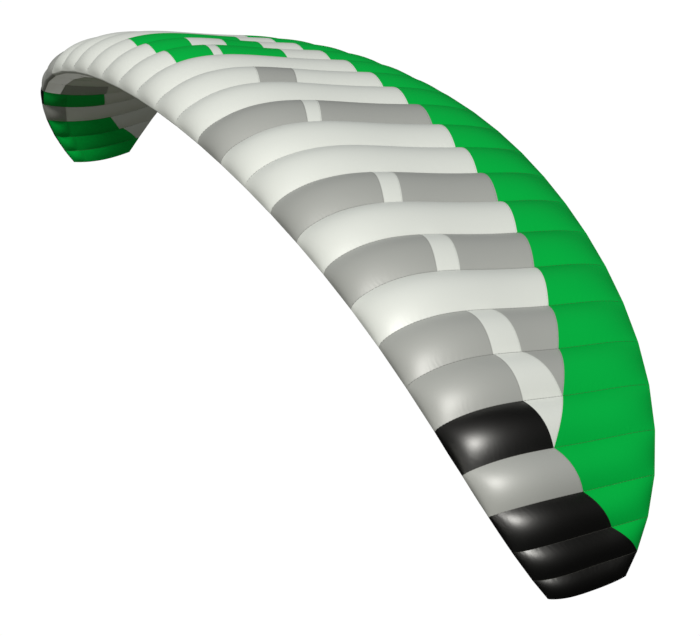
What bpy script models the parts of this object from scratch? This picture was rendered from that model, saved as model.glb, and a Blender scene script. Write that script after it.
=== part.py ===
"""Paraglider wing: a double-skinned canopy of thirty sewn cells, in its flying shape.

Metres, +Z up. The wing flies towards -Y, its span lies along X, and its origin is the line attachment
under the middle rib. Each cell is one sewn skin: an upper panel that wraps round the nose, joined at
the trailing edge to a lower panel. The skins meet at the ribs, which are flat aerofoil plates of cloth.
"""

from math import cos, exp, sin, sqrt

import bmesh
import bpy
from mathutils import Matrix, Vector

# ---------------------------------------------------------------- driving dimensions

CELLS = 30                    # cells between the two outermost seams
HALF_SPAN_FLAT = 5.40         # centre to outermost seam, measured along the cloth
TIP_CLOSING = 0.030           # fullest width of the cloth that closes a tip beyond its outermost seam
TIP_EDGE = 0.10               # part of that width that is left at the nose and the trailing edge
ROOT_CHORD = 2.187
CLOTH = 0.002                 # skin thickness
RIB_CLOTH = 0.002             # rib plate thickness
GAP = 0.0003                  # between a skin and the rib that it is sewn to

# How cells narrow towards the tips, how the chord falls, how the nose sweeps back, how the span
# leans down, and how the ribs twist: each a law of the distance t from the centre, 0 to 1.
SPACING = {"cubic": 0.216, "fifth": 0.07}
CHORD_FALL = {2: 0.556, 4: -0.214, 8: 0.41}
NOSE_SWEEP = {2: 0.107, 4: -0.056, 8: 0.447}
LEAN = {1: 0.394, 3: -0.142, 5: 1.225}
TWIST = {0: 0.082, 2: -0.053}

# Aerofoil: sqrt(x)(1-x) times a smooth blend of these weights, nose to tail, in parts of the chord.
UPPER_WEIGHTS = (0.253, 0.416, -0.06, 0.4)
LOWER_WEIGHTS = (0.116, 0.303, 0.14)

# How far a cell's cloth swells between its ribs, in parts of the cell's width. The swelling comes up
# behind the nose, or behind the inlet on the lower skin, and dies away at the trailing edge.
BILLOW_UPPER = 0.18
BILLOW_LOWER = 0.07
BILLOW_RISE = 0.20            # root of the chord part over which it comes up
BILLOW_FADES = 8              # power of the chord part with which it dies away
OPEN_CELLS = range(6, 26)     # these have an air inlet under the nose, the others a closed nose
INLET_TOP = 0.017             # inlet's lips, on the lower surface, in parts of the chord
INLET_BOTTOM = 0.105
ATTACHMENT = 0.30             # line attachment on the middle rib, in parts of the chord

UPPER_STATIONS = (1.0, 0.85, 0.62, 0.38, 0.19, 0.07, 0.016)
LOWER_STATIONS = (0.20, 0.45, 0.72)
ROWS_PER_CELL = 4             # spanwise strips of a cell's skin
ARC_STEPS = 400

# Cloth that closes a tip: rows beyond the outermost seam, each a share of the closing's width, with
# the thickness that is left to the aerofoil there.
CLOSING_ROWS = (
    {"share": 0.45, "thickness": 0.80},
    {"share": 0.85, "thickness": 0.45},
    {"share": 1.00, "thickness": 0.16},
)

CLOTH_COLOURS = {
    "white": (0.78, 0.79, 0.76),
    "grey": (0.31, 0.31, 0.30),
    "black": (0.012, 0.012, 0.012),
    "green": (0.005, 0.37, 0.04),
}
MAIN_COLOUR = {1: "black", 2: "black", 3: "black", 4: "grey", 5: "black", 6: "grey", 7: "grey", 9: "grey",
               11: "grey", 14: "grey", 19: "green", 20: "green", 24: "grey", 25: "grey", 26: "black",
               27: "grey", 28: "black", 29: "black", 30: "black"}


# ---------------------------------------------------------------- the shape of the wing

def law(terms, t):
    """Sum of the terms of a law, each a weight on a power of the distance from the centre."""
    return sum(weight * abs(t) ** power for power, weight in terms.items())


def seam_distance(seam):
    """Distance of a seam from the centre, 1 at the outermost seam of the +X tip, -1 at the other."""
    u = 1 - 2 * seam / CELLS
    return u + SPACING["cubic"] * (u - u ** 3) + SPACING["fifth"] * (u - u ** 5)


def span_line(t):
    """Place and lean of the span line, which bends down towards the tips."""
    x = z = 0.0
    step = abs(t) / ARC_STEPS
    for k in range(ARC_STEPS):
        lean = law(LEAN, (k + 0.5) * step)
        x += cos(lean) * step * HALF_SPAN_FLAT
        z -= sin(lean) * step * HALF_SPAN_FLAT
    side = 1 if t >= 0 else -1
    return side * x, z, side * law(LEAN, t)


class Rib:
    """The plane of one rib: its nose point, chord length, and chord, up and span directions."""

    def __init__(self, t):
        x, z, lean = span_line(t)
        twist = law(TWIST, t)
        normal = Vector((sin(lean), 0, cos(lean)))
        aft = Vector((0, 1, 0))
        self.span = Vector((cos(lean), 0, -sin(lean)))
        self.along = aft * cos(twist) - normal * sin(twist)
        self.up = normal * cos(twist) + aft * sin(twist)
        self.chord = ROOT_CHORD * (1 - law(CHORD_FALL, t))
        self.nose = Vector((x, law(NOSE_SWEEP, t), z))

    def point(self, x, y):
        """A point of the rib's plane, with x along the chord and y up, in parts of the chord."""
        return self.nose + self.chord * (x * self.along + y * self.up)


def blend(weights, x):
    """Bernstein blend of the weights: smooth, and equal to the end weights at the ends."""
    n = len(weights) - 1
    total = 0.0
    choose = 1
    for k, weight in enumerate(weights):
        total += choose * weight * x ** k * (1 - x) ** (n - k)
        choose = choose * (n - k) // (k + 1)
    return total


def upper(x):
    return sqrt(x) * (1 - x) * blend(UPPER_WEIGHTS, x)


def lower(x):
    return -sqrt(x) * (1 - x) * blend(LOWER_WEIGHTS, x)


def billow(x, y):
    """Swelling of the cloth half way across a cell at a station, in parts of the cell's width."""
    behind, most = (sqrt(x), BILLOW_UPPER) if y >= 0 else (sqrt(x) - sqrt(INLET_BOTTOM), BILLOW_LOWER)
    rise = 1 - exp(-(max(behind, 0) / BILLOW_RISE) ** 1.5)
    return most * rise * (1 - x ** BILLOW_FADES)


def section():
    """Stations of a skin round the aerofoil, from the inlet's top lip over the nose to its bottom lip."""
    top_lip = [(INLET_TOP, lower(INLET_TOP)), (0.0, 0.0)]
    over = [(x, upper(x)) for x in reversed(UPPER_STATIONS)]
    under = [(x, lower(x)) for x in reversed(LOWER_STATIONS)]
    bottom_lip = [(INLET_BOTTOM, lower(INLET_BOTTOM))]
    return top_lip + over + under + bottom_lip


def outward(stations, k, closed):
    """Outward direction of the aerofoil at a station, from its two neighbours."""
    n = len(stations)
    before = stations[(k - 1) % n] if closed or k else stations[k]
    after = stations[(k + 1) % n] if closed or k < n - 1 else stations[k]
    along = Vector((after[0] - before[0], after[1] - before[1]))
    return Vector((-along.y, along.x)).normalized()


# ---------------------------------------------------------------- the sewn pieces

def cloth_material(name, colour):
    material = bpy.data.materials.new(name)
    material.use_nodes = True
    shader = material.node_tree.nodes["Principled BSDF"]
    shader.inputs["Base Color"].default_value = (*colour, 1)
    shader.inputs["Roughness"].default_value = 0.5
    shader.inputs["Metallic"].default_value = 0.0
    return material


def skin_rows(right, left, stations, closed):
    """Rows of points across a cell, swelling between its two ribs."""
    across = right.nose - left.nose
    width = across.length
    fan = right.span.angle(left.span)
    slant = across.angle(left.span)
    reach = RIB_CLOTH / 2 + GAP + CLOTH * (sin(fan) + sin(slant))
    rows = []
    for r in range(ROWS_PER_CELL + 1):
        s = r / ROWS_PER_CELL
        row = []
        for k, (x, y) in enumerate(stations):
            start = right.point(x, y) - right.span * reach
            end = left.point(x, y) + left.span * reach
            out = outward(stations, k, closed)
            push = ((right.along + left.along) * out.x + (right.up + left.up) * out.y).normalized()
            row.append(start.lerp(end, s) + push * billow(x, y) * width * 4 * s * (1 - s))
        rows.append(row)
    return rows


def closing_width(x):
    """Width of a tip's closing cloth at a chord part: fullest at mid-chord, least at both ends."""
    return TIP_CLOSING * (TIP_EDGE + (1 - TIP_EDGE) * 4 * x * (1 - x))


def closing_rows(rib, stations, side):
    """Rows that close a tip beyond its outermost seam, thinning the aerofoil to an edge."""
    rows = []
    for row in CLOSING_ROWS:
        rows.append([rib.point(x, y * row["thickness"]) + rib.span * side * closing_width(x) * row["share"]
                     for x, y in stations])
    return rows


def cloth_from_rows(name, rows, closed, capped_row=None):
    """A skin: an open surface lofted through the rows, made a sheet by Solidify."""
    bm = bmesh.new()
    grid = [[bm.verts.new(point) for point in row] for row in rows]
    count = len(grid[0])
    for one, two in zip(grid, grid[1:]):
        for k in range(count if closed else count - 1):
            following = (k + 1) % count
            bm.faces.new((one[k], one[following], two[following], two[k]))
    if capped_row is not None:
        bm.faces.new(grid[capped_row])
    bmesh.ops.recalc_face_normals(bm, faces=bm.faces)
    mesh = bpy.data.meshes.new(name)
    bm.to_mesh(mesh)
    bm.free()
    piece = bpy.data.objects.new(name, mesh)
    sheet = piece.modifiers.new("cloth thickness", "SOLIDIFY")
    sheet.thickness = CLOTH
    sheet.offset = -1
    sheet.use_even_offset = True
    return piece


def make_skin(cell, ribs, materials):
    """One cell's skin, between the ribs at its two seams; the outermost cells also close the tip."""
    closed = cell not in OPEN_CELLS
    stations = section()
    right, left = ribs[cell - 1], ribs[cell]
    rows = skin_rows(right, left, stations, closed)
    capped_row = None
    if cell == 1:
        rows = closing_rows(right, stations, 1)[::-1] + rows
        capped_row = 0
    if cell == CELLS:
        rows = rows + closing_rows(left, stations, -1)
        capped_row = -1
    piece = cloth_from_rows(f"cell_{cell:02d}", rows, closed, capped_row)
    piece.data.materials.append(materials[MAIN_COLOUR.get(cell, "white")])
    return piece


def make_rib(seam, rib, material):
    """A rib: a flat aerofoil plate of cloth, in its own plane."""
    outline = section()
    curve = bpy.data.curves.new(f"rib_{seam:02d}", "CURVE")
    curve.dimensions = "2D"
    curve.fill_mode = "BOTH"
    curve.extrude = RIB_CLOTH / 2
    spline = curve.splines.new("POLY")
    spline.points.add(len(outline) - 1)
    for point, (x, y) in zip(spline.points, outline):
        point.co = (x * rib.chord, y * rib.chord, 0, 1)
    spline.use_cyclic_u = True
    curve.materials.append(material)
    piece = bpy.data.objects.new(f"rib_{seam:02d}", curve)
    axes = Matrix((rib.along, rib.up, rib.along.cross(rib.up))).transposed().to_4x4()
    piece.matrix_world = Matrix.Translation(rib.nose) @ axes
    return piece


def main():
    for old in list(bpy.data.objects):
        bpy.data.objects.remove(old)
    wing = bpy.data.collections.new("paraglider_wing")
    bpy.context.scene.collection.children.link(wing)
    materials = {name: cloth_material(f"{name} cloth", colour) for name, colour in CLOTH_COLOURS.items()}
    rib_material = cloth_material("rib cloth", CLOTH_COLOURS["white"])

    ribs = [Rib(seam_distance(seam)) for seam in range(CELLS + 1)]
    attachment = ribs[CELLS // 2].point(ATTACHMENT, lower(ATTACHMENT))
    for rib in ribs:
        rib.nose -= attachment

    for cell in range(1, CELLS + 1):
        wing.objects.link(make_skin(cell, ribs, materials))
    for seam in range(1, CELLS):
        wing.objects.link(make_rib(seam, ribs[seam], rib_material))


main()
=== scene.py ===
# %% [markdown]
# # A paraglider wing, sewn cell by cell
#
# A paraglider's wing is two skins of thin coated nylon with a row of flat cloth ribs between them.
# Air rams in through inlets under the nose and blows every cell between two ribs into a smooth, taut
# billow. Nothing in it is stiff: the shape is the cut of the panels. So this file builds it the way a
# sail loft does. It starts with the laws that set the plan, the arc and the aerofoil, cuts each cell's
# cloth along them, lays out the coloured panels, and only then thinks about cloth, thread and light.

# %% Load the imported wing
from collections import namedtuple
from math import ceil, cos, exp, pi, radians, sin, sqrt

import bmesh
import bpy
from mathutils import Matrix, Vector


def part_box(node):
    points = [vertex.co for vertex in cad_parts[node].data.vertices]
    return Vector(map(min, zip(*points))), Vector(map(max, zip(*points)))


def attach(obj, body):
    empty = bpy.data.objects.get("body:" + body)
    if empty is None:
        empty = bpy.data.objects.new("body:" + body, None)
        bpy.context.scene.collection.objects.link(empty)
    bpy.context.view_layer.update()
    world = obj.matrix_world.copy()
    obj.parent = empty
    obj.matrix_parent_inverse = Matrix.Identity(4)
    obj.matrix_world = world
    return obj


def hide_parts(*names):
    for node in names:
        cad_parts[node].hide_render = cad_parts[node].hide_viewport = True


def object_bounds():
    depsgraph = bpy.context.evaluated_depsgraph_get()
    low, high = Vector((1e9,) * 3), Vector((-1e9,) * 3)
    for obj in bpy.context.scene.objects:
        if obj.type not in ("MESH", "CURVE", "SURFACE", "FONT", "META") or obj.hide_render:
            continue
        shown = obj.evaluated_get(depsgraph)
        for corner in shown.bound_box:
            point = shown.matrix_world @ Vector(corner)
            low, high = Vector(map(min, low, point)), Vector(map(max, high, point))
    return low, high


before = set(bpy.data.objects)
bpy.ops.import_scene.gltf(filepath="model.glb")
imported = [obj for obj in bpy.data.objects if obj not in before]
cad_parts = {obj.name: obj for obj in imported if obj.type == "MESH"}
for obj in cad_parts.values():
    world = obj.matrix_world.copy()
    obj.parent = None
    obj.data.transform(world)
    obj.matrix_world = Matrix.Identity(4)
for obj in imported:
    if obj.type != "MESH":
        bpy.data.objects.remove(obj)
packed_box = [list(corner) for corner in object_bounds()]
scene = bpy.context.scene
print("packed wing:", len(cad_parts), "nodes, spanning",
      round(packed_box[1][0] - packed_box[0][0], 3), "m")

# %% [markdown]
# ## The laws of the wing
#
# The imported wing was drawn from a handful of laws, each a sum of powers of the distance from the
# centre: how cells narrow, how the chord falls, how the nose sweeps back, how the span leans down and
# how the ribs twist. Its facets are too coarse to show, so the same laws are used again here and
# sampled finely. A law is better than a list of points: the same few numbers give any rib, at any
# fineness, and the cloth can't miss the rib it is sewn to.

# %% Laws of the plan, the arc and the aerofoil
CELLS = 30
HALF_SPAN = 5.40              # centre to outermost seam, along the cloth
ROOT_CHORD = 2.187
TIP_CLOSING, TIP_EDGE = 0.030, 0.10   # fullest width of a tip's closing cloth, and its part at the ends
SPACING = {"cubic": 0.216, "fifth": 0.07}
CHORD_FALL = {2: 0.556, 4: -0.214, 8: 0.41}
NOSE_SWEEP = {2: 0.107, 4: -0.056, 8: 0.447}
LEAN = {1: 0.394, 3: -0.142, 5: 1.225}
TWIST = {0: 0.082, 2: -0.053}
UPPER_WEIGHTS = (0.253, 0.416, -0.06, 0.4)
LOWER_WEIGHTS = (0.116, 0.303, 0.14)
BILLOW_UPPER, BILLOW_LOWER = 0.18, 0.07   # how far a cell swells, in parts of its width
BILLOW_RISE = 0.20            # girth behind the nose, or behind the inlet, over which it comes up
BILLOW_FADES = 8              # power with which the swelling dies towards the trailing edge
ATTACHMENT = 0.30             # where the lines meet the middle rib, in parts of the chord: the origin
INLET_TOP, INLET_BOTTOM = 0.017, 0.105    # the inlet's lips, in parts of the chord behind the nose
OPEN_CELLS = range(6, 26)     # cells with an inlet; the others have a closed nose
ARC_STEPS = 400
BILLOW_SHAPE = 1.5            # power of the billow's rise behind the nose
NORMAL_REACH = 0.004          # girth to either side over which the outward direction is taken


def law(terms, t):
    """Sum of a law's terms, each a weight on a power of the distance from the centre."""
    return sum(weight * abs(t) ** power for power, weight in terms.items())


def seam_distance(seam):
    """Distance of a seam from the centre: 1 at the +X tip's outermost seam, -1 at the other's."""
    u = 1 - 2 * seam / CELLS
    return u + SPACING["cubic"] * (u - u ** 3) + SPACING["fifth"] * (u - u ** 5)


def span_line(t):
    """Place and lean of the span line, which bends down towards the tips."""
    x = z = 0.0
    step = abs(t) / ARC_STEPS
    for k in range(ARC_STEPS):
        lean = law(LEAN, (k + 0.5) * step)
        x += cos(lean) * step * HALF_SPAN
        z -= sin(lean) * step * HALF_SPAN
    side = 1 if t >= 0 else -1
    return side * x, z, side * law(LEAN, t)


def blend(weights, x):
    """Bernstein blend of the weights, equal to the end weights at the ends."""
    n = len(weights) - 1
    total, choose = 0.0, 1
    for k, weight in enumerate(weights):
        total += choose * weight * x ** k * (1 - x) ** (n - k)
        choose = choose * (n - k) // (k + 1)
    return total


def profile(q):
    """The aerofoil at girth q: x is q squared, over the top where q is positive, under where not."""
    x = q * q
    return x, q * (1 - x) * blend(UPPER_WEIGHTS if q >= 0 else LOWER_WEIGHTS, x)


def billow(q):
    """Swelling half way across a cell at girth q, in parts of the cell's width."""
    behind, most = (q, BILLOW_UPPER) if q >= 0 else (-q - sqrt(INLET_BOTTOM), BILLOW_LOWER)
    rise = 1 - exp(-(max(behind, 0) / BILLOW_RISE) ** BILLOW_SHAPE)
    return most * rise * (1 - q ** (2 * BILLOW_FADES))


def outward(q):
    """Outward direction of the aerofoil at girth q."""
    ahead, behind = profile(min(q + NORMAL_REACH, 1)), profile(max(q - NORMAL_REACH, -1))
    along = Vector((ahead[0] - behind[0], ahead[1] - behind[1]))
    return Vector((-along.y, along.x)).normalized()


# %% Ribs where the laws put them
class Rib:
    """The plane of one rib: its nose, chord length, and chord, up and span directions."""

    def __init__(self, t):
        x, z, lean = span_line(t)
        twist = law(TWIST, t)
        normal, aft = Vector((sin(lean), 0, cos(lean))), Vector((0, 1, 0))
        self.span = Vector((cos(lean), 0, -sin(lean)))
        self.along = aft * cos(twist) - normal * sin(twist)
        self.up = normal * cos(twist) + aft * sin(twist)
        self.chord = ROOT_CHORD * (1 - law(CHORD_FALL, t))
        self.nose = Vector((x, law(NOSE_SWEEP, t), z))

    def point(self, x, y):
        """A point of the rib's plane, x along the chord and y up, in parts of the chord."""
        return self.nose + self.chord * (x * self.along + y * self.up)

    def at(self, q):
        """The point of the rib's outline at girth q."""
        return self.point(*profile(q))


ribs = [Rib(seam_distance(seam)) for seam in range(CELLS + 1)]
attachment = ribs[CELLS // 2].point(*profile(-sqrt(ATTACHMENT)))
for rib in ribs:
    rib.nose -= attachment

worst = 0.0
for seam in range(1, CELLS):
    low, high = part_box(f"rib_{seam:02d}")
    worst = max(worst, abs(ribs[seam].at(1).y - high.y), abs(ribs[seam].nose.y - low.y))
print(f"ribs by the laws meet the packed ribs to {worst * 1000:.1f} mm")

# %% [markdown]
# ## The camera
#
# The wing flies towards -Y and is seen from ahead of its +X tip and above, from far off with a long
# lens, so that the far tip is not much smaller than the near one. Setting the camera before the cloth
# lets every later choice be looked at as it is made.

# %% Camera
CAMERA_PLACE = Vector((16.278, -5.224, 5.459)) - attachment
CAMERA_YAW, CAMERA_PITCH, CAMERA_ROLL = 0.3785, -0.3930, -0.0709
CAMERA_LENS = 126.4
CAMERA_SEES = 500             # metres


def aim(yaw, pitch, roll):
    """Turn of a camera that looks along -X, turned by yaw towards +Y, pitched up, and rolled."""
    look = Vector((-cos(pitch) * cos(yaw), cos(pitch) * sin(yaw), sin(pitch)))
    level = look.cross(Vector((0, 0, 1))).normalized()
    above = level.cross(look)
    right = level * cos(roll) + above * sin(roll)
    up = above * cos(roll) - level * sin(roll)
    return Matrix((right, up, -look)).transposed()


camera = bpy.data.objects.new("camera", bpy.data.cameras.new("camera"))
camera.data.lens = CAMERA_LENS
camera.data.clip_end = CAMERA_SEES
turn = aim(CAMERA_YAW, CAMERA_PITCH, CAMERA_ROLL)
camera.matrix_world = Matrix.Translation(CAMERA_PLACE) @ turn.to_4x4()
scene.collection.objects.link(camera)
scene.camera = camera
scene.view_settings.view_transform = "Standard"
print("camera", [round(c, 2) for c in camera.location], "lens", camera.data.lens)

# %% [markdown]
# ## Shader groups for the cloth
#
# Canopy cloth is ripstop nylon: a plain weave so fine that it reads as film, with a thicker thread
# every five or six millimetres both ways, and a coat of silicone or polyurethane that makes it slick.
# Three effects are shared by every colour, so each is a node group with named inputs:
# the ripstop grid, the tiny puckers that a sewing machine draws in along a seam, and the slow,
# uneven tone of cloth that has been dyed, folded and flown. The grid follows the cloth's own UV map,
# which is in metres, so it runs with the warp of each panel.


# %% Node helpers
def wire(tree, source, target):
    tree.links.new(source, target)


def add(tree, kind, **settings):
    """A new node of a kind, with its settings given by name."""
    node = tree.nodes.new(kind)
    for name, value in settings.items():
        setattr(node, name, value)
    return node


def maths(tree, operation, *operands):
    """A Math node; each operand is a number or an output socket."""
    node = add(tree, "ShaderNodeMath", operation=operation)
    for socket, value in zip(node.inputs, operands):
        if isinstance(value, bpy.types.NodeSocket):
            wire(tree, value, socket)
        else:
            socket.default_value = value
    return node.outputs[0]


def noise(tree, place, **values):
    """Output of a Noise Texture node at a place, with its other inputs given by name."""
    node = add(tree, "ShaderNodeTexNoise")
    wire(tree, place, node.inputs["Vector"])
    for name, value in values.items():
        node.inputs[name].default_value = value
    return node.outputs["Fac"]


def new_group(name, inputs, outputs, kind="ShaderNodeTree"):
    """A node group with named sockets: inputs are (name, type, value), outputs are (name, type)."""
    group = bpy.data.node_groups.new(name, kind)
    for label, socket_type, value in inputs:
        socket = group.interface.new_socket(label, in_out="INPUT", socket_type=socket_type)
        if value is not None:
            socket.default_value = value
    for label, socket_type in outputs:
        group.interface.new_socket(label, in_out="OUTPUT", socket_type=socket_type)
    return group, group.nodes.new("NodeGroupInput").outputs, group.nodes.new("NodeGroupOutput").inputs


# %% Ripstop grid
RIPSTOP_PITCH = 0.0055        # metres between the thicker threads
RIPSTOP_THREAD = 0.12         # half a thick thread's width, in parts of the pitch
WEAVE_SCALE = 2600            # the plain weave's grain, per metre
WEAVE_SHARE = 0.35            # the weave's height beside a thick thread's


def make_ripstop_group():
    """Thicker threads both ways in a plain weave."""
    group, given, out = new_group(
        "ripstop grid",
        [("Vector", "NodeSocketVector", None), ("Pitch", "NodeSocketFloat", RIPSTOP_PITCH),
         ("Thread", "NodeSocketFloat", RIPSTOP_THREAD)],
        [("Thread mask", "NodeSocketFloat"), ("Height", "NodeSocketFloat")])
    parts = add(group, "ShaderNodeSeparateXYZ")
    wire(group, given["Vector"], parts.inputs[0])
    raised = []
    for axis in ("X", "Y"):
        turns = maths(group, "DIVIDE", parts.outputs[axis], given["Pitch"])
        saw = maths(group, "PINGPONG", turns, 0.5)
        near = maths(group, "SUBTRACT", 1.0, maths(group, "DIVIDE", saw, given["Thread"]))
        raised.append(maths(group, "MAXIMUM", near, 0.0))
    mask = maths(group, "MAXIMUM", raised[0], raised[1])
    weave = noise(group, given["Vector"], Scale=WEAVE_SCALE, Detail=1)
    wire(group, mask, out["Thread mask"])
    wire(group, maths(group, "ADD", mask, maths(group, "MULTIPLY", weave, WEAVE_SHARE)), out["Height"])
    return group


# %% Seam puckers
PUCKER_SPACING = 0.045        # metres from one pucker to the next
PUCKER_REACH = 0.05           # metres from the seam over which they fade
PUCKER_WANDER = 5.0           # puckers by which the spacing drifts
PUCKER_WANDER_SCALE = 7


def make_pucker_group():
    """Wrinkles across a seam, strongest at the needle and gone a few centimetres away."""
    group, given, out = new_group(
        "seam puckers",
        [("Vector", "NodeSocketVector", None), ("Seam distance", "NodeSocketFloat", 1.0),
         ("Spacing", "NodeSocketFloat", PUCKER_SPACING), ("Reach", "NodeSocketFloat", PUCKER_REACH)],
        [("Height", "NodeSocketFloat")])
    parts = add(group, "ShaderNodeSeparateXYZ")
    wire(group, given["Vector"], parts.inputs[0])
    wander = noise(group, given["Vector"], Scale=PUCKER_WANDER_SCALE, Detail=2)
    turns = maths(group, "DIVIDE", parts.outputs["Y"], given["Spacing"])
    turns = maths(group, "ADD", turns, maths(group, "MULTIPLY", wander, PUCKER_WANDER))
    wave = maths(group, "SINE", maths(group, "MULTIPLY", turns, 2 * pi))
    away = maths(group, "DIVIDE", given["Seam distance"], given["Reach"])
    decay = maths(group, "EXPONENT", maths(group, "MULTIPLY", away, -1.0))
    strength = maths(group, "MULTIPLY", decay, wander)
    wire(group, maths(group, "MULTIPLY", wave, strength), out["Height"])
    return group


# %% Slow, uneven tone
PATCH_SCALE, PATCH_DETAIL, PATCH_ROUGHNESS = 1.7, 4, 0.6
THREAD_TONE = -0.03           # how much darker a thick thread is
SEAM_TONE = -0.10             # how much darker the cloth is at a seam
SEAM_TONE_FADE = -260.0       # and how fast that fades, per metre


def make_tone_group():
    """Colour that varies slowly over the cloth and darkens a little at threads and seams."""
    group, given, out = new_group(
        "cloth tone",
        [("Color", "NodeSocketColor", (1, 1, 1, 1)), ("Thread mask", "NodeSocketFloat", 0.0),
         ("Seam distance", "NodeSocketFloat", 1.0), ("Unevenness", "NodeSocketFloat", 0.05)],
        [("Color", "NodeSocketColor"), ("Patch", "NodeSocketFloat")])
    place = add(group, "ShaderNodeTexCoord")
    patch = noise(group, place.outputs["Object"], Scale=PATCH_SCALE, Detail=PATCH_DETAIL,
                  Roughness=PATCH_ROUGHNESS)
    swing = maths(group, "SUBTRACT", patch, 0.5)
    value = maths(group, "ADD", 1.0, maths(group, "MULTIPLY", swing, given["Unevenness"]))
    value = maths(group, "ADD", value, maths(group, "MULTIPLY", given["Thread mask"], THREAD_TONE))
    # the cloth is darker within a few millimetres of each seam, fading away from it
    seam_closeness = maths(group, "EXPONENT", maths(group, "MULTIPLY", given["Seam distance"], SEAM_TONE_FADE))
    value = maths(group, "ADD", value, maths(group, "MULTIPLY", seam_closeness, SEAM_TONE))
    shade = add(group, "ShaderNodeHueSaturation")
    wire(group, value, shade.inputs["Value"])
    wire(group, given["Color"], shade.inputs["Color"])
    wire(group, shade.outputs["Color"], out["Color"])
    wire(group, patch, out["Patch"])
    return group


ripstop_group, pucker_group, tone_group = make_ripstop_group(), make_pucker_group(), make_tone_group()
print("shader groups:", ", ".join(g.name for g in (ripstop_group, pucker_group, tone_group)))

# %% [markdown]
# ## The four cloths
#
# One recipe makes every colour, because the loft buys one cloth in several dyes. The coating gives a
# broad, soft highlight, so the roughness sits near the middle and the index of refraction is raised
# above bare nylon's. Dark dyes look slicker than pale ones, since nothing else comes back from them,
# and the green is kept almost matt. The puckers and the grid go through one Bump node each, chained,
# so that each has its own depth in metres.

# %% Cloth recipe
ClothFinish = namedtuple("ClothFinish", "colour roughness specular ior unevenness")
CLOTHS = {
    "white": ClothFinish((0.80, 0.81, 0.755), 0.48, 1.00, 1.62, 0.03),
    "grey": ClothFinish((0.418, 0.420, 0.392), 0.50, 1.00, 1.70, 0.04),
    "black": ClothFinish((0.0008, 0.0008, 0.0007), 0.44, 1.00, 1.68, 0.20),
    "green": ClothFinish((0.0002, 0.432, 0.053), 0.60, 0.06, 1.50, 0.05),
}
GRID_DEPTH = 0.00006          # bump depths, in metres
PUCKER_DEPTH = 0.0004
ROUGHNESS_SWING = 0.10        # how much the roughness follows the uneven tone


def cloth_material(name, finish):
    """Ripstop of one finish, with the grid, the puckers and the tone wired in."""
    material = bpy.data.materials.new(name)
    material.use_nodes = True
    tree = material.node_tree
    shader = tree.nodes["Principled BSDF"]
    uv = add(tree, "ShaderNodeUVMap", uv_map="cloth")
    seam = add(tree, "ShaderNodeAttribute", attribute_name="seam_distance")
    grid = add(tree, "ShaderNodeGroup", node_tree=ripstop_group)
    wire(tree, uv.outputs["UV"], grid.inputs["Vector"])
    pucker = add(tree, "ShaderNodeGroup", node_tree=pucker_group)
    wire(tree, uv.outputs["UV"], pucker.inputs["Vector"])
    wire(tree, seam.outputs["Fac"], pucker.inputs["Seam distance"])
    tone = add(tree, "ShaderNodeGroup", node_tree=tone_group)
    tone.inputs["Color"].default_value = (*finish.colour, 1)
    tone.inputs["Unevenness"].default_value = finish.unevenness
    wire(tree, grid.outputs["Thread mask"], tone.inputs["Thread mask"])
    wire(tree, seam.outputs["Fac"], tone.inputs["Seam distance"])
    wire(tree, tone.outputs["Color"], shader.inputs["Base Color"])
    rough = maths(tree, "MULTIPLY_ADD", tone.outputs["Patch"], ROUGHNESS_SWING,
                  finish.roughness - ROUGHNESS_SWING / 2)
    wire(tree, rough, shader.inputs["Roughness"])
    normal = None
    for height, depth in ((pucker.outputs["Height"], PUCKER_DEPTH), (grid.outputs["Height"], GRID_DEPTH)):
        bump = add(tree, "ShaderNodeBump")
        bump.inputs["Distance"].default_value = depth
        wire(tree, height, bump.inputs["Height"])
        if normal is not None:
            wire(tree, normal, bump.inputs["Normal"])
        normal = bump.outputs["Normal"]
    wire(tree, normal, shader.inputs["Normal"])
    shader.inputs["Specular IOR Level"].default_value = finish.specular
    shader.inputs["IOR"].default_value = finish.ior
    return material


cloths = {name: cloth_material(f"{name} ripstop", finish) for name, finish in CLOTHS.items()}
print("cloths:", ", ".join(material.name for material in cloths.values()))

# %% The cloth's inner face
INNER_GLOW = 0.070            # a faint glow that stands in for daylight coming through the cloth
INNER_COLOUR = (1.0, 1.0, 0.90, 1)
INNER_FINISH = ClothFinish((0.36, 0.36, 0.34), 0.6, 0.4, 1.50, 0.05)
RIB_FINISH = ClothFinish((0.74, 0.745, 0.72), 0.6, 0.4, 1.50, 0.05)


def glowing_cloth(name, finish):
    """Cloth seen inside a cell, with a glow in place of the daylight that comes through it."""
    material = cloth_material(name, finish)
    shader = material.node_tree.nodes["Principled BSDF"]
    shader.inputs["Emission Color"].default_value = INNER_COLOUR
    shader.inputs["Emission Strength"].default_value = INNER_GLOW
    return material


inner_face = glowing_cloth("inner face", INNER_FINISH)

# %% [markdown]
# ## How the panels are laid out
#
# Each cell's cloth is cut as panels, joined end to end with lapped seams. A row below gives one panel
# of the upper skin: its colour, and where it ends at the cell's two seams, in parts of the chord from
# the nose. A row that ends at BAND stops at the front of the green trailing band, whose sweep has a
# law of its own. Cells from 24 on, which only show their fronts, mirror the ones they face across the
# wing. The lower skin is white, with the coloured noses and panels of the tips.

# %% Panels of the upper skin
BAND, END = "band", 1.0
BAND_FRONT = {0: 0.758, 2: -0.20, 6: -1.17}
BAND_TIP = {4: 0.434, 3: 0.529, 2: 0.700, 1: 1.0}   # the band turns aft again over the last cells
Panel = namedtuple("Panel", "colour right left")      # right is the +X seam, left the -X seam

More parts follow.
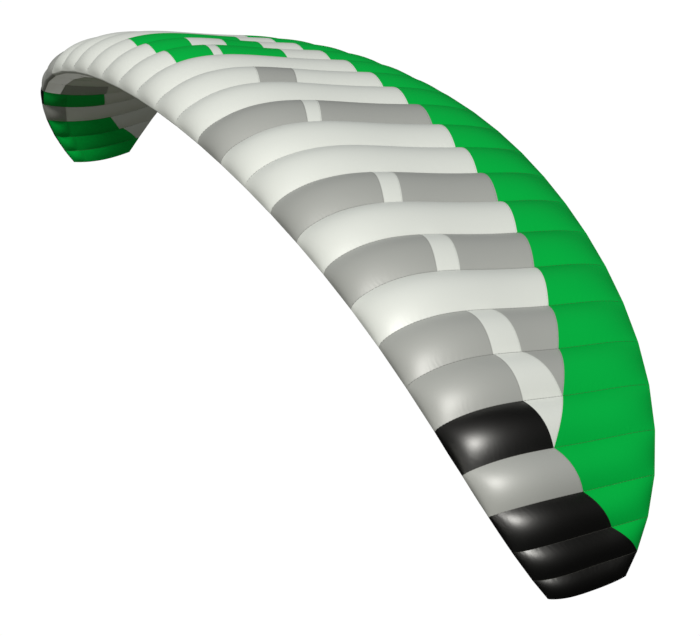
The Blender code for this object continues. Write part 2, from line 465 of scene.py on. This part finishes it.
PLAIN = (Panel("white", BAND, BAND), Panel("green", END, END))
UPPER = {
    1: (Panel("black", END, END),),
    2: (Panel("black", END, BAND), Panel("green", END, END)),
    3: (Panel("black", BAND, BAND), Panel("green", END, END)),
    4: (Panel("grey", BAND, BAND), Panel("green", END, END)),
    5: (Panel("black", 0.432, 0.374), Panel("white", BAND, BAND), Panel("green", END, END)),
    6: (Panel("grey", 0.374, 0.344), Panel("white", 0.564, 0.473), Panel("grey", BAND, BAND),
        Panel("green", END, END)),
    7: (Panel("grey", 0.341, 0.328), Panel("white", 0.466, 0.435), Panel("grey", BAND, BAND),
        Panel("green", END, END)),
    9: (Panel("grey", 0.315, 0.336), Panel("white", 0.405, 0.417), Panel("grey", BAND, BAND),
        Panel("green", END, END)),
    11: (Panel("grey", 0.307, 0.335), Panel("white", 0.374, 0.407), Panel("grey", BAND, BAND),
         Panel("green", END, END)),
    14: (Panel("grey", 0.302, 0.341), Panel("white", 0.350, 0.401), Panel("grey", BAND, BAND),
         Panel("green", END, END)),
    16: (Panel("white", 0.302, 0.342), Panel("grey", 0.437, 0.476), Panel("white", BAND, BAND),
         Panel("green", END, END)),
    18: (Panel("white", 0.160, 0.160), Panel("green", 0.303, 0.303), Panel("white", 0.338, 0.338),
         Panel("green", 0.586, 0.586), Panel("white", BAND, BAND), Panel("green", END, END)),
    19: (Panel("white", 0.160, 0.160), Panel("green", 0.303, 0.303), Panel("white", 0.442, 0.442),
         Panel("green", 0.589, 0.589), Panel("white", BAND, BAND), Panel("green", END, END)),
    20: (Panel("white", 0.160, 0.158), Panel("green", 0.592, 0.592), Panel("white", BAND, BAND),
         Panel("green", END, END)),
}
FIRST_MIRRORED = 24           # from here out the far cells repeat the near ones


def mirrored(panels):
    """The same panels, seen from the other side of the wing's middle."""
    return tuple(Panel(panel.colour, panel.left, panel.right) for panel in panels)


for cell in range(FIRST_MIRRORED, CELLS + 1):
    UPPER[cell] = mirrored(UPPER[CELLS + 1 - cell])

# %% Panels of the lower skin
LOWER = {
    25: (Panel("grey", 0.34, 0.369), Panel("white", END, END)),
    26: (Panel("green", 0.369, 0.416), Panel("white", END, END)),
    27: (Panel("white", END, END),),
    28: (Panel("green", 0.506, 0.643), Panel("white", END, END)),
    29: (Panel("green", 0.685, 0.955), Panel("white", END, END)),
    30: (Panel("green", END, END),),
}
NOSE_COLOURS = {26: "green", 27: "grey", 28: "green", 29: "green", 30: "green"}
NOSE_ENDS = {25: 0.14, 26: 0.15, 27: 0.152, 28: 0.163, 29: 0.191, 30: 0.21}   # at a seam, in chords
LOWER.update({CELLS + 1 - cell: mirrored(panels) for cell, panels in LOWER.items()})
NOSE_COLOURS.update({CELLS + 1 - cell: colour for cell, colour in NOSE_COLOURS.items()})
WHOLE_LOWER = (Panel("white", END, END),)


def band_front(seam):
    """Where the green trailing band begins at a seam."""
    near = min(seam, CELLS - seam)
    if near == 0:
        return END
    if near in BAND_TIP:
        return BAND_TIP[near]
    return law(BAND_FRONT, 1 - 2 * near / CELLS)


print("band begins at", [round(band_front(seam), 2) for seam in range(1, CELLS // 2 + 1)])

# %% [markdown]
# ## Cutting a cell
#
# A cell's cloth is a loop round the aerofoil, open at the inlet. It is made as stretches, one for each
# panel, that share their end rows, so colours change on a clean line that bows aft with the billow.
# Girth q runs like the square root of the distance from the nose, which puts the rows close together
# where the cloth turns hardest. The swelling across the cell is the parabola that pressure gives a
# shallow sheet. A loft in mesh code suits this better than a subdivided cage: every row is on the law.

# %% Cell cloth
COLUMNS = 16                  # strips across a cell
ROW_STEP = 0.0125             # girth between rows
EDGE_GAP = 0.0003             # half the gap between two skins where they meet over a rib
NOSE_WRAP = 0.11              # girth by which an upper skin wraps under a closed nose
NOSE_PUFF = 0.110             # extra fullness of a closed nose, in parts of the cell's width
CLOTH_THICKNESS = 0.0008
CLOSING_COLUMNS = (0.2, 0.4, 0.58, 0.74, 0.87, 0.95, 0.99, 1.0)   # places across a tip's closing cloth
CLOSING_POWER = 0.6           # how bluntly the closing cloth thins to its edge
WELD, SLIVER = 0.00002, 0.00001   # points nearer than this are one; edges shorter than this go
CREASE = radians(50)          # cloth that turns more sharply than this is shaded as an edge
Stretch = namedtuple("Stretch", "colour right_from left_from right_to left_to")


def nose_end(seam):
    """How far under the wing a closed nose's cloth reaches at a seam, in parts of the chord."""
    return NOSE_ENDS[max(seam, CELLS - seam)]


def stretches(cell):
    """The cell's panels as girths at its two seams, once round from the inlet's top lip."""
    right_band, left_band = band_front(cell - 1), band_front(cell)
    closed = cell not in OPEN_CELLS
    found = []
    right = left = -NOSE_WRAP if closed else -sqrt(INLET_TOP)
    for panel in UPPER.get(cell, PLAIN):
        to_right = sqrt(right_band if panel.right == BAND else panel.right)
        to_left = sqrt(left_band if panel.left == BAND else panel.left)
        found.append(Stretch(panel.colour, right, left, to_right, to_left))
        right, left = to_right, to_left
    under = []
    if closed:
        nose_right, nose_left = -sqrt(nose_end(cell - 1)), -sqrt(nose_end(cell))
        under.append(Stretch(NOSE_COLOURS[cell], nose_right, nose_left, -NOSE_WRAP, -NOSE_WRAP))
    else:
        nose_right = nose_left = -sqrt(INLET_BOTTOM)
    for panel in LOWER.get(cell, WHOLE_LOWER):
        to_right, to_left = -sqrt(panel.right), -sqrt(panel.left)
        under.append(Stretch(panel.colour, to_right, to_left, nose_right, nose_left))
        nose_right, nose_left = to_right, to_left
    return found + under[::-1]


def cell_point(right, left, s, q, puff):
    """A point of the skin, s across from the +X seam, at girth q."""
    x = q * q
    start = right.at(q) - right.span * EDGE_GAP
    end = left.at(q) + left.span * EDGE_GAP
    out = outward(q)
    push = ((right.along + left.along) * out.x + (right.up + left.up) * out.y).normalized()
    width = (right.nose - left.nose).length
    swell = billow(q)
    if puff and q < 0 and x < puff:
        swell += NOSE_PUFF * sin(pi * x / puff)
    return start.lerp(end, s) + push * swell * width * 4 * s * (1 - s)


def closing_point(rib, side, u, q):
    """A point of the cloth that closes a tip: the aerofoil thins to an edge as u goes to 1."""
    x, y = profile(q)
    width = TIP_CLOSING * (TIP_EDGE + (1 - TIP_EDGE) * 4 * x * (1 - x))
    return rib.point(x, y * (1 - u ** 2) ** CLOSING_POWER) + rib.span * side * width * u


def columns_of(cell):
    """Places across the cell: from 0 to 1 between its seams, and past them where it closes a tip."""
    across = [k / COLUMNS for k in range(COLUMNS + 1)]
    if cell == 1:
        return [-u for u in reversed(CLOSING_COLUMNS)] + across
    if cell == CELLS:
        return across + [1 + u for u in CLOSING_COLUMNS]
    return across


def puff_reach(cell):
    """How far aft a closed nose is full, in parts of the chord, or None where the nose is open."""
    return None if cell in OPEN_CELLS else (nose_end(cell - 1) + nose_end(cell)) / 2


def cell_rows(cell):
    """Rows of (place, girth) round the cell, and the colour of the strip that ends at each row."""
    across = columns_of(cell)
    rows, colours = [], []
    for stretch in stretches(cell):
        length = max(abs(stretch.right_to - stretch.right_from), abs(stretch.left_to - stretch.left_from))
        count = max(2, ceil(length / ROW_STEP))
        for k in range(1 if rows else 0, count + 1):
            right = stretch.right_from + (stretch.right_to - stretch.right_from) * k / count
            left = stretch.left_from + (stretch.left_to - stretch.left_from) * k / count
            rows.append([(s, right + (left - right) * min(max(s, 0), 1)) for s in across])
            colours.append(stretch.colour)
    return rows, colours


def cut_cell(cell):
    """One cell's cloth: a lofted mesh with its panels' colours, UVs in metres and seam distances."""
    right, left = ribs[cell - 1], ribs[cell]
    reach = puff_reach(cell)
    rows, colours = cell_rows(cell)
    used = sorted(set(colours))
    bm = bmesh.new()
    uv = bm.loops.layers.uv.new("cloth")
    along_seam = bm.verts.layers.float.new("seam_distance")
    flat = {}
    grid = []
    travelled = 0.0
    for row in rows:
        points = []
        for s, q in row:
            if s < 0:
                point = closing_point(right, 1, -s, q)
            elif s > 1:
                point = closing_point(left, -1, s - 1, q)
            else:
                point = cell_point(right, left, s, q, reach)
            points.append(bm.verts.new(point))
        middle = len(points) // 2
        if grid:
            travelled += (points[middle].co - grid[-1][middle].co).length
        width = (right.at(row[middle][1]) - left.at(row[middle][1])).length
        for (s, q), vert in zip(row, points):
            flat[vert] = ((s - 0.5) * width, travelled)
            vert[along_seam] = min(abs(s), abs(1 - s)) * width
        grid.append(points)
    for one, two, colour in zip(grid, grid[1:], colours[1:]):
        for c in range(len(one) - 1):
            face = bm.faces.new((one[c], two[c], two[c + 1], one[c + 1]))
            face.material_index = used.index(colour)
            face.smooth = True
            for loop in face.loops:
                loop[uv].uv = flat[loop.vert]
    bmesh.ops.remove_doubles(bm, verts=bm.verts, dist=WELD)
    bmesh.ops.dissolve_degenerate(bm, edges=bm.edges, dist=SLIVER)
    for edge in bm.edges:
        edge.smooth = not edge.is_boundary and edge.calc_face_angle(0) < CREASE
    mesh = bpy.data.meshes.new(f"skin_{cell:02d}")
    area = sum(face.calc_area() for face in bm.faces)
    bm.to_mesh(mesh)
    bm.free()
    for colour in used:
        mesh.materials.append(cloths[colour])
    for _ in used:
        mesh.materials.append(inner_face)
    return mesh, area


# %% Every cell, sewn between its ribs
WIDTH_GIRTH = 0.2             # girth at which a cell's width is measured, just behind the nose
GIRTH_STEPS = 160


def path_length(points):
    return sum((b - a).length for a, b in zip(points, points[1:]))


def arc_width(cell):
    """Width that the cell's cloth is cut to at its nose, over the billow."""
    right, left = ribs[cell - 1], ribs[cell]
    return path_length([cell_point(right, left, k / COLUMNS, WIDTH_GIRTH, None)
                        for k in range(COLUMNS + 1)])


def girth_length(cell):
    """Length of the cell's cloth round the aerofoil, along its longer seam."""
    rib = max(ribs[cell - 1], ribs[cell], key=lambda one: one.chord)
    return path_length([rib.at(-1 + 2 * k / GIRTH_STEPS) for k in range(GIRTH_STEPS + 1)])


skins, skin_cuts = {}, {}
for cell in range(1, CELLS + 1):
    mesh, area = cut_cell(cell)
    skin = bpy.data.objects.new(f"skin_{cell:02d}", mesh)
    scene.collection.objects.link(skin)
    thickness = skin.modifiers.new("cloth thickness", "SOLIDIFY")
    thickness.thickness = CLOTH_THICKNESS
    thickness.offset = -1
    thickness.material_offset = len(mesh.materials) // 2
    skins[cell] = skin
    extra = TIP_CLOSING if cell in (1, CELLS) else 0.0
    skin_cuts[cell] = (arc_width(cell) + extra, girth_length(cell), area)
print(f"cut {len(skins)} skins, {sum(cut[2] for cut in skin_cuts.values()):.1f} square metres of cloth")

# %% [markdown]
# ## The ribs
#
# Each rib is one flat piece of firmer cloth, cut to the aerofoil, that ties the upper skin to the
# lower and holds the section. Only its front shows, through the inlets. It is cut a little inside the
# skins, as the seam allowance turns inwards there, and is a plain outline filled and thickened: a 2-D
# curve would do, but the laws already give the outline point by point.

# %% Ribs
RIB_THICKNESS = 0.001
RIB_INSET = 0.0022            # how far a rib's edge lies inside the skins
RIB_STATIONS = 72
RIB_END = 0.994               # girth at which a rib stops short of the trailing edge
RIB_WELD = 0.00005
HEIGHT_STEPS = 50


def cut_rib(seam, material):
    """One rib: the aerofoil's outline, filled and thickened, with its UVs in metres."""
    rib = ribs[seam]
    bm = bmesh.new()
    uv = bm.loops.layers.uv.new("cloth")
    outline = []
    for k in range(2 * RIB_STATIONS):
        q = -1 + (k + 0.5) / RIB_STATIONS
        q = max(min(q, RIB_END), -RIB_END)
        x, y = profile(q)
        out = outward(q) * (RIB_INSET / rib.chord)
        outline.append((x - out.x, y - out.y))
    sides = []
    for side in (-0.5, 0.5):
        sides.append([bm.verts.new(rib.point(x, y) + rib.span * RIB_THICKNESS * side) for x, y in outline])
    flat = {vert: (x * rib.chord, y * rib.chord) for ring in sides for vert, (x, y) in zip(ring, outline)}
    bm.faces.new(sides[0])
    bm.faces.new(sides[1][::-1])
    for k in range(len(outline)):
        after = (k + 1) % len(outline)
        bm.faces.new((sides[0][k], sides[1][k], sides[1][after], sides[0][after]))
    bmesh.ops.remove_doubles(bm, verts=bm.verts, dist=RIB_WELD)
    bmesh.ops.triangulate(bm, faces=[face for face in bm.faces if len(face.verts) > 4])
    bmesh.ops.recalc_face_normals(bm, faces=bm.faces)
    for face in bm.faces:
        for loop in face.loops:
            loop[uv].uv = flat.get(loop.vert, (0, 0))
    area = sum(face.calc_area() for face in bm.faces) / 2
    mesh = bpy.data.meshes.new(f"rib_cloth_{seam:02d}")
    bm.to_mesh(mesh)
    bm.free()
    mesh.materials.append(material)
    attribute = mesh.attributes.new("seam_distance", "FLOAT", "POINT")
    attribute.data.foreach_set("value", [1.0] * len(mesh.vertices))
    return mesh, area


rib_material = glowing_cloth("rib cloth", RIB_FINISH)
rib_pieces, rib_cuts = {}, {}
for seam in range(1, CELLS):
    mesh, area = cut_rib(seam, rib_material)
    piece = bpy.data.objects.new(f"rib_cloth_{seam:02d}", mesh)
    scene.collection.objects.link(piece)
    rib_pieces[seam] = piece
    heights = [profile(k / HEIGHT_STEPS)[1] - profile(-k / HEIGHT_STEPS)[1] for k in range(HEIGHT_STEPS + 1)]
    rib_cuts[seam] = (max(heights) * ribs[seam].chord, ribs[seam].chord, area)
height, chord, area = rib_cuts[CELLS // 2]
print(f"cut {len(rib_pieces)} ribs, the middle one {chord:.2f} by {height:.2f} m")

# %% [markdown]
# ## Stitches
#
# A canopy's seams are run on a machine that locks a stitch every few millimetres, and every panel join,
# inlet lip and trailing hem has its own row. Modelled one by one they would be a chore, and drawn in a
# texture they would blur. Geometry Nodes make them: a thin line of edges follows each seam, is resampled at
# the stitch pitch, and carries one small bar of thread at each point, turned along the line. The result is
# realized and joined, so that the bars stay as plain mesh.

# %% Stitch row as Geometry Nodes
Stitch = namedtuple("Stitch", "pitch length radius")
SEAM_STITCH = Stitch(0.022, 0.013, 0.0012)
FINE_STITCH = Stitch(0.012, 0.008, 0.0004)
THREAD_SIDES = 5
THREAD_GRAIN = 900            # the ply's grain, per metre
THREAD_DARK, THREAD_PALE = (0.030, 0.030, 0.024, 1), (0.060, 0.060, 0.050, 1)
THREAD_RELIEF = 0.0002
THREAD_ROUGHNESS = 0.6


def make_stitch_tree():
    """Bars of thread at an even pitch along every line of the mesh it is given."""
    tree, given, out = new_group(
        "stitch row",
        [("Geometry", "NodeSocketGeometry", None), ("Pitch", "NodeSocketFloat", SEAM_STITCH.pitch),
         ("Length", "NodeSocketFloat", SEAM_STITCH.length),
         ("Thread radius", "NodeSocketFloat", SEAM_STITCH.radius),
         ("Thread", "NodeSocketMaterial", None)],
        [("Geometry", "NodeSocketGeometry")], "GeometryNodeTree")
    line = add(tree, "GeometryNodeMeshToCurve")
    wire(tree, given["Geometry"], line.inputs["Mesh"])
    pitched = add(tree, "GeometryNodeResampleCurve", mode="LENGTH")
    wire(tree, line.outputs["Curve"], pitched.inputs["Curve"])
    wire(tree, given["Pitch"], pitched.inputs["Length"])
    tangent = add(tree, "GeometryNodeInputTangent")
    turn = add(tree, "FunctionNodeAlignRotationToVector", axis="Z")
    wire(tree, tangent.outputs[0], turn.inputs["Vector"])
    bar = add(tree, "GeometryNodeMeshCylinder", fill_type="TRIANGLE_FAN")
    bar.inputs["Vertices"].default_value = THREAD_SIDES
    wire(tree, given["Thread radius"], bar.inputs["Radius"])
    wire(tree, given["Length"], bar.inputs["Depth"])
    placed = add(tree, "GeometryNodeInstanceOnPoints")
    wire(tree, pitched.outputs["Curve"], placed.inputs["Points"])
    wire(tree, bar.outputs["Mesh"], placed.inputs["Instance"])
    wire(tree, turn.outputs[0], placed.inputs["Rotation"])
    real = add(tree, "GeometryNodeRealizeInstances")
    wire(tree, placed.outputs["Instances"], real.inputs["Geometry"])
    dyed = add(tree, "GeometryNodeSetMaterial")
    wire(tree, real.outputs["Geometry"], dyed.inputs["Geometry"])
    wire(tree, given["Thread"], dyed.inputs["Material"])
    wire(tree, dyed.outputs["Geometry"], out["Geometry"])
    return tree


def thread_material():
    """Dark twisted thread."""
    material = bpy.data.materials.new("polyester thread")
    material.use_nodes = True
    tree = material.node_tree
    shader = tree.nodes["Principled BSDF"]
    place = add(tree, "ShaderNodeTexCoord")
    ply = noise(tree, place.outputs["Object"], Scale=THREAD_GRAIN)
    tint = add(tree, "ShaderNodeValToRGB")
    tint.color_ramp.elements[0].color, tint.color_ramp.elements[1].color = THREAD_DARK, THREAD_PALE
    wire(tree, ply, tint.inputs["Fac"])
    wire(tree, tint.outputs["Color"], shader.inputs["Base Color"])
    bump = add(tree, "ShaderNodeBump")
    bump.inputs["Distance"].default_value = THREAD_RELIEF
    wire(tree, ply, bump.inputs["Height"])
    wire(tree, bump.outputs["Normal"], shader.inputs["Normal"])
    shader.inputs["Roughness"].default_value = THREAD_ROUGHNESS
    return material


stitch_tree, thread = make_stitch_tree(), thread_material()


def sew(name, lines, stitch):
    """Stitches along each line of points, as one plain mesh."""
    points, edges = [], []
    for line in lines:
        first = len(points)
        points += line
        edges += [(first + k, first + k + 1) for k in range(len(line) - 1)]
    guide = bpy.data.meshes.new(name + "_line")
    guide.from_pydata(points, edges, [])
    piece = bpy.data.objects.new(name, guide)
    scene.collection.objects.link(piece)
    nodes = piece.modifiers.new("stitches", "NODES")
    nodes.node_group = stitch_tree
    values = {"Thread": thread, "Pitch": stitch.pitch, "Length": stitch.length,
              "Thread radius": stitch.radius}
    for item in stitch_tree.interface.items_tree:
        if item.in_out == "INPUT" and item.name in values:
            nodes[item.identifier] = values[item.name]
    bpy.context.view_layer.update()
    sewn = bpy.data.meshes.new_from_object(piece.evaluated_get(bpy.context.evaluated_depsgraph_get()))
    piece.modifiers.clear()
    piece.data = sewn
    sewn.name = name
    bpy.data.meshes.remove(guide)
    print(name, len(sewn.polygons), "faces")
    return piece


# %% Where the stitches run
SEAM_LIFT, ACROSS_LIFT = 0.0004, 0.0007   # how far the thread stands off the cloth's line
SEAM_STEPS, ACROSS_STEPS = 90, 24
ACROSS_MARGIN = 0.02          # part of a cell's width left bare at each end of a row across it
UPPER_RUN, LOWER_RUN = (0.08, 0.985), (-0.985, -0.30)     # girths between which a seam is sewn
JOIN_INSET = 0.003            # girth from a panel's end to its row
HEM_GIRTH = 0.993
TOP_LIP_INSET, BOTTOM_LIP_INSET = 0.012, 0.008
EDGE_GIRTH = 0.99             # joins nearer the trailing edge than this are the edge itself


def seam_line(seam, run):
    """A line along a seam, from one girth to another."""
    rib = ribs[seam]
    start, end = run
    line = []
    for k in range(SEAM_STEPS + 1):
        q = start + (end - start) * k / SEAM_STEPS
        out = outward(q)
        line.append(rib.at(q) + (rib.along * out.x + rib.up * out.y) * SEAM_LIFT)
    return line


def across_line(cell, right_q, left_q):
    """A line across a cell's cloth, from a girth at one seam to a girth at the other."""
    right, left = ribs[cell - 1], ribs[cell]
    reach = puff_reach(cell)
    line = []
    for k in range(ACROSS_STEPS + 1):
        s = ACROSS_MARGIN + (1 - 2 * ACROSS_MARGIN) * k / ACROSS_STEPS
        q = right_q + (left_q - right_q) * s
        out = outward(q)
        rise = ((right.along + left.along) * out.x + (right.up + left.up) * out.y).normalized()
        line.append(cell_point(right, left, s, q, reach) + rise * ACROSS_LIFT)
    return line


upper_rows = [seam_line(seam, UPPER_RUN) for seam in range(1, CELLS)]
lower_rows = [seam_line(seam, LOWER_RUN) for seam in range(1, CELLS)]
join_rows, hem_rows, lip_rows = [], [], []
for cell in range(1, CELLS + 1):
    for stretch in stretches(cell)[1:]:
        right_q, left_q = stretch.right_from, stretch.left_from
        if max(abs(right_q), abs(left_q)) < EDGE_GIRTH:
            join_rows.append(across_line(cell, right_q - JOIN_INSET, left_q - JOIN_INSET))
    hem_rows.append(across_line(cell, HEM_GIRTH, HEM_GIRTH))
    if cell in OPEN_CELLS:
        for q in (-sqrt(INLET_TOP) + TOP_LIP_INSET, -sqrt(INLET_BOTTOM) - BOTTOM_LIP_INSET):
            lip_rows.append(across_line(cell, q, q))
stitched = [
    sew("stitches_upper_seams", upper_rows, SEAM_STITCH),
    sew("stitches_lower_seams", lower_rows, SEAM_STITCH),
    sew("stitches_panel_joins", join_rows, FINE_STITCH),
    sew("stitches_trailing_hem", hem_rows, FINE_STITCH),
    sew("stitches_inlet_lips", lip_rows, FINE_STITCH),
]

# %% [markdown]
# ## What each piece stands for
#
# Every piece rides on the wing's one body. A skin or a rib takes the place of its imported node, which is
# hidden. The width and length of its cloth on the table and its area, worked out when it was cut, are looked
# up here but not used.

# %% Riding and replacing
for cell, skin in skins.items():
    width, length, area = skin_cuts[cell]
    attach(skin, "root")
    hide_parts(f"cell_{cell:02d}")
for seam, piece in rib_pieces.items():
    height, chord, area = rib_cuts[seam]
    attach(piece, "root")
    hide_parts(f"rib_{seam:02d}")
for piece in stitched:
    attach(piece, "root")

# %% [markdown]
# ## Floor and light
#
# The wing flies over a plain floor that shows as white, as the sky does. What they cast on the wing is
# far weaker and is set apart from what they show: a cool light from the sky and a faint warm one from
# the floor. A soft, warm key stands high on the +X side and a little ahead, and draws the highlight
# behind each nose. A broad, weaker fill comes from ahead and a little below, so that the noses and
# the far tip's underside aren't lost in shade.

# %% Floor
FLOOR_DROP = 6.0              # metres below the wing's lowest point
FLOOR_HALF = 400.0
SHOWN_WHITE = 1.02            # what floor and sky show to the camera
FLOOR_CAST, FLOOR_COLOUR = 0.095, (1.0, 0.99, 0.78)
SKY_CAST, SKY_COLOUR = 0.33, (0.84, 0.93, 1.0)


def glow_node(tree, cast, colour):
    """Strength and colour of a backdrop: white to the camera, its cast on cloth, black in a gloss."""
    path = add(tree, "ShaderNodeLightPath")
    strength = maths(tree, "MULTIPLY_ADD", path.outputs["Is Camera Ray"], SHOWN_WHITE - cast, cast)
    strength = maths(tree, "MULTIPLY_ADD", path.outputs["Is Glossy Ray"], -cast, strength)
    tint = add(tree, "ShaderNodeMix", data_type="RGBA")
    tint.inputs[6].default_value = (*colour, 1)        # input 6 is A and 7 is B of the colour mix
    tint.inputs[7].default_value = (1, 1, 1, 1)
    wire(tree, path.outputs["Is Camera Ray"], tint.inputs["Factor"])
    return strength, tint.outputs[2]


def make_floor():
    """A wide plane that glows and reflects nothing."""
    mesh = bpy.data.meshes.new("floor")
    level = packed_box[0][2] - FLOOR_DROP
    corners = [(x * FLOOR_HALF, y * FLOOR_HALF, level) for x, y in ((-1, -1), (1, -1), (1, 1), (-1, 1))]
    mesh.from_pydata(corners, [], [(0, 1, 2, 3)])
    material = bpy.data.materials.new("pale floor")
    material.use_nodes = True
    tree = material.node_tree
    shader = tree.nodes["Principled BSDF"]
    shader.inputs["Base Color"].default_value = (0, 0, 0, 1)
    shader.inputs["Specular IOR Level"].default_value = 0
    strength, tint = glow_node(tree, FLOOR_CAST, FLOOR_COLOUR)
    wire(tree, strength, shader.inputs["Emission Strength"])
    wire(tree, tint, shader.inputs["Emission Color"])
    material.cycles.emission_sampling = "NONE"     # its light then obeys the ray kinds above
    mesh.materials.append(material)
    floor = bpy.data.objects.new("floor", mesh)
    scene.collection.objects.link(floor)


def make_sky():
    """The world, which glows in the same way."""
    world = bpy.data.worlds.new("studio")
    world.use_nodes = True
    tree = world.node_tree
    strength, tint = glow_node(tree, SKY_CAST, SKY_COLOUR)
    background = tree.nodes["Background"]
    wire(tree, strength, background.inputs["Strength"])
    wire(tree, tint, background.inputs["Color"])
    world.cycles.sampling_method = "NONE"
    scene.world = world


make_floor()
make_sky()

# %% Lamps
Lamp = namedtuple("Lamp", "toward strength angle colour")
LAMPS = {
    "key": Lamp(Vector((0.60, -0.41, 0.69)), 2.55, 16, (1.0, 0.985, 0.935)),
    "front fill": Lamp(Vector((0.20, -0.93, -0.20)), 0.80, 40, (1.0, 0.985, 0.90)),
}


def hang_lamp(name, lamp):
    """A distant lamp that shines from the way it is set toward."""
    light = bpy.data.lights.new(name, "SUN")
    light.energy, light.angle, light.color = lamp.strength, radians(lamp.angle), lamp.colour
    piece = bpy.data.objects.new(name, light)
    piece.rotation_mode = "QUATERNION"
    piece.rotation_quaternion = lamp.toward.to_track_quat("Z", "Y")
    scene.collection.objects.link(piece)


for name, lamp in LAMPS.items():
    hang_lamp(name, lamp)

# %% Finish
bpy.context.view_layer.update()
